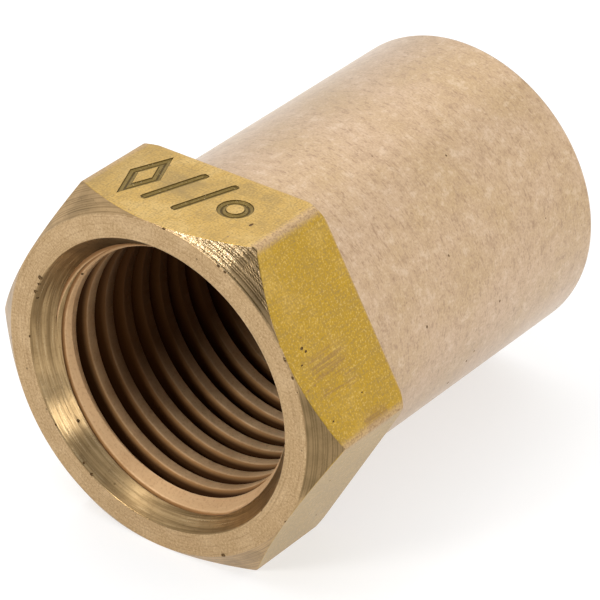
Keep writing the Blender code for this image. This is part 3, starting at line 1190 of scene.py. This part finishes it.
    def build(self) -> bpy.types.Object:
        """Build the body's mesh, with the thread, the mark and the dents cut into it.

        Returns:
            The piece, not yet dressed.
        """
        columns = self.columns()
        body = lofted("fitting_body_turned", columns, [self.outline(column) for column in columns])
        order = list(Surface)
        given_slots(body, order.index(Surface.FLAT))
        for face in body.data.polygons:
            face.material_index = order.index(self.surface_of(face.center))
        mark_cutters = self.mark()
        cutters = [self.thread(columns), *mark_cutters, self.dent_cutter()]
        surfaces = [Surface.THREAD, *[Surface.MARK] * len(mark_cutters), Surface.DENT]
        for cutter, surface in zip(cutters, surfaces):
            given_slots(cutter, order.index(surface))
        cut_away(body, cutters)
        body.data.shade_smooth()
        body.data.set_sharp_from_angle(angle=SHARP_ANGLE)
        body.location.y = self.sizes.mouth
        return body

    def dress(self, body: bpy.types.Object) -> None:
        """Give each surface of the body its finish."""
        bore = (self.sizes.crest, self.countersink_radius, self.countersink_slope)
        finishes = {
            Surface.FLAT: DrawnFlat("drawn_flat"),
            Surface.BARREL: TurnedBarrel("turned_barrel"),
            Surface.RING: FacedRing("faced_ring"),
            Surface.BACK: FacedRing("faced_back"),
            Surface.NOSE: FacedRing("faced_nose"),
            Surface.CHAMFER: TurnedChamfer("turned_chamfer", self.groove_pitch, self.ring_radius),
            Surface.COUNTERSINK: Countersunk("countersunk_mouth"),
            Surface.THREAD: CutThread("cut_thread", *bore),
            Surface.BORE: CutThread("drilled_bore", *bore),
            Surface.MARK: MarkedGroove("marked_groove"),
            Surface.DENT: MarkedGroove("dirty_dent", wall=(0.15, 0.09, 0.04), floor=(0.2, 0.12, 0.05)),
        }
        for slot, surface in enumerate(Surface):
            body.data.materials[slot] = finishes[surface].material()


# Jet


@dataclass
class MeteringJet:
    """The drilled jet that is pressed into the nose."""

    sizes: FittingSizes
    columns: int = 144
    hole: float = 1.475 * MM
    land: float = 0.4 * MM
    edge_break: float = 0.15 * MM
    inlet_slope: float = math.tan(math.radians(30))

    def build(self) -> bpy.types.Object:
        """Build the jet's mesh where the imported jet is.

        Returns:
            The piece, not yet dressed.
        """
        low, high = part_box("metering_jet")
        start, end = low[1] - self.sizes.mouth, high[1] - self.sizes.mouth
        outer = (high[2] - low[2]) / 2
        inlet = outer - self.edge_break - self.land
        inlet_depth = (inlet - self.hole) / self.inlet_slope
        corners = [
            Corner(self.hole, start + inlet_depth, 0.05 * MM, cuts=4),
            Corner(inlet, start, 0.04 * MM, cuts=2),
            Corner(outer - self.edge_break, start, 0.05 * MM),
            Corner(outer, start + self.edge_break, 0.05 * MM, cuts=4),
            Corner(outer, end - self.edge_break, 0.05 * MM),
            Corner(outer - self.edge_break, end, 0.05 * MM, cuts=2),
            Corner(self.hole, end, 0.03 * MM, cuts=4),
        ]
        columns = [Column(2 * math.pi * step / self.columns) for step in range(self.columns)]
        jet = lofted("metering_jet_turned", columns, [Outline(corners).points()] * self.columns)
        jet.data.set_sharp_from_angle(angle=SHARP_ANGLE)
        jet.location.y = self.sizes.mouth
        return jet

    def dress(self, jet: bpy.types.Object) -> None:
        """Give the jet its finish."""
        jet.data.materials.append(FacedRing("jet_brass", metal=(0.62, 0.42, 0.17)).material())


# Studio


@dataclass(frozen=True)
class SoftLight:
    """A large square light that faces the fitting."""

    name: str
    azimuth: float
    elevation: float
    distance: float
    side: float
    power: float

    def build(self) -> bpy.types.Object:
        """Place the light."""
        data = bpy.data.lights.new(self.name, "AREA")
        data.size = self.side
        data.energy = self.power
        light = placed(self.name, data)
        back = direction(self.azimuth, self.elevation)
        light.location = back * self.distance
        light.rotation_mode = "QUATERNION"
        light.rotation_quaternion = (-back).to_track_quat("-Z", "Y")
        return light


def direction(azimuth: float, elevation: float) -> Vector:
    """Return the way from the fitting towards a viewer, for angles in degrees.

    Azimuth 0 stands in front of the mouth and 90 on the +X side.
    """
    turn, lift = math.radians(azimuth), math.radians(elevation)
    return Vector((math.sin(turn) * math.cos(lift), -math.cos(turn) * math.cos(lift), math.sin(lift)))


@dataclass
class Studio:
    """The pale floor, the white surroundings, the soft lights and the camera."""

    floor_height: float
    aim: Place = (-0.155 * MM, -0.531 * MM, -0.532 * MM)
    azimuth: float = 37.003
    elevation: float = 30.897
    distance: float = 138.274 * MM
    roll: float = 0.254
    lens: float = 251.364
    floor_half: float = 1.5
    floor_glow: float = 0.6
    room_light: float = 1.08
    brighter: float = 0.14
    darker: float = 0.72
    brighter_side: Place = (-0.72, 0.30, 0.62)
    darker_side: Place = (0.50, -0.85, 0.15)

    def build(self) -> None:
        """Build the floor, the surroundings, the lights and the camera."""
        self.build_floor()
        self.build_surroundings()
        SoftLight("overhead_softbox", azimuth=215, elevation=60, distance=0.34, side=0.4, power=0.3).build()
        SoftLight("left_softbox", azimuth=-34, elevation=68, distance=0.3, side=0.08, power=0.07).build()
        SoftLight("front_softbox", azimuth=-17, elevation=33, distance=0.3, side=0.08, power=0.36).build()
        SoftLight("right_softbox", azimuth=62, elevation=24, distance=0.3, side=0.08, power=0.13).build()
        SoftLight("back_softbox", azimuth=138, elevation=22, distance=0.34, side=0.3, power=0.13).build()
        self.build_camera()
        bpy.context.scene.view_settings.view_transform = "Standard"

    def build_floor(self) -> None:
        """Lay a wide pale floor under the fitting."""
        half = self.floor_half
        square = ((-half, -half), (half, -half), (half, half), (-half, half))
        corners = [(x, y, self.floor_height) for x, y in square]
        floor = piece_from("studio_floor", corners, [(0, 1, 2, 3)])
        material = bpy.data.materials.new("pale_floor")
        tree = Tree(material)
        sockets = {"Base Color": (0.43, 0.43, 0.43), "Roughness": 0.7, "Emission Color": (1.0, 1.0, 1.0)}
        sockets["Emission Strength"] = self.floor_glow
        surface = tree.out("ShaderNodeBsdfPrincipled", None, sockets)
        tree.node("ShaderNodeOutputMaterial", None, {"Surface": surface})
        floor.data.materials.append(material)

    def build_surroundings(self) -> None:
        """Surround the scene with plain white."""
        world = bpy.data.worlds.new("white_room")
        tree = Tree(world)
        way = Signal(tree, tree.node("ShaderNodeTexCoord").outputs["Generated"])
        bright = tree.along(way, self.brighter_side)
        dark = tree.along(way, self.darker_side).most(0.0)
        strength = self.room_light + bright * self.brighter - dark * self.darker
        surface = tree.out("ShaderNodeBackground", None, {"Strength": strength})
        tree.node("ShaderNodeOutputWorld", None, {"Surface": surface})
        bpy.context.scene.world = world

    def build_camera(self) -> None:
        """Place the camera with a long lens."""
        data = bpy.data.cameras.new("camera")
        data.lens = self.lens
        data.sensor_width = 36
        data.clip_start = 0.01
        data.clip_end = 10
        camera = placed("camera", data)
        back = direction(self.azimuth, self.elevation)
        camera.location = Vector(self.aim) + back * self.distance
        camera.rotation_mode = "QUATERNION"
        aimed = (-back).to_track_quat("-Z", "Y")
        camera.rotation_quaternion = aimed @ Quaternion((0, 0, 1), math.radians(self.roll))
        bpy.context.scene.camera = camera


def main() -> None:
    """Build the pieces and the studio in order."""
    logging.basicConfig(level=logging.INFO, format="%(message)s")
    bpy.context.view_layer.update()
    sizes = FittingSizes.from_frame()
    Studio(floor_height=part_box("fitting_body")[0][2]).build()
    makers = (
        (FittingBody(sizes), "fitting_body", "body_brass"),
        (MeteringJet(sizes), "metering_jet", "jet_brass"),
    )
    for maker, node, slot in makers:
        piece = maker.build()
        maker.dress(piece)
        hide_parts(node)
        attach(piece, "root")
        LOG.info("%s: %d faces", piece.name, len(piece.data.polygons))


if __name__ == "__main__":
    main()
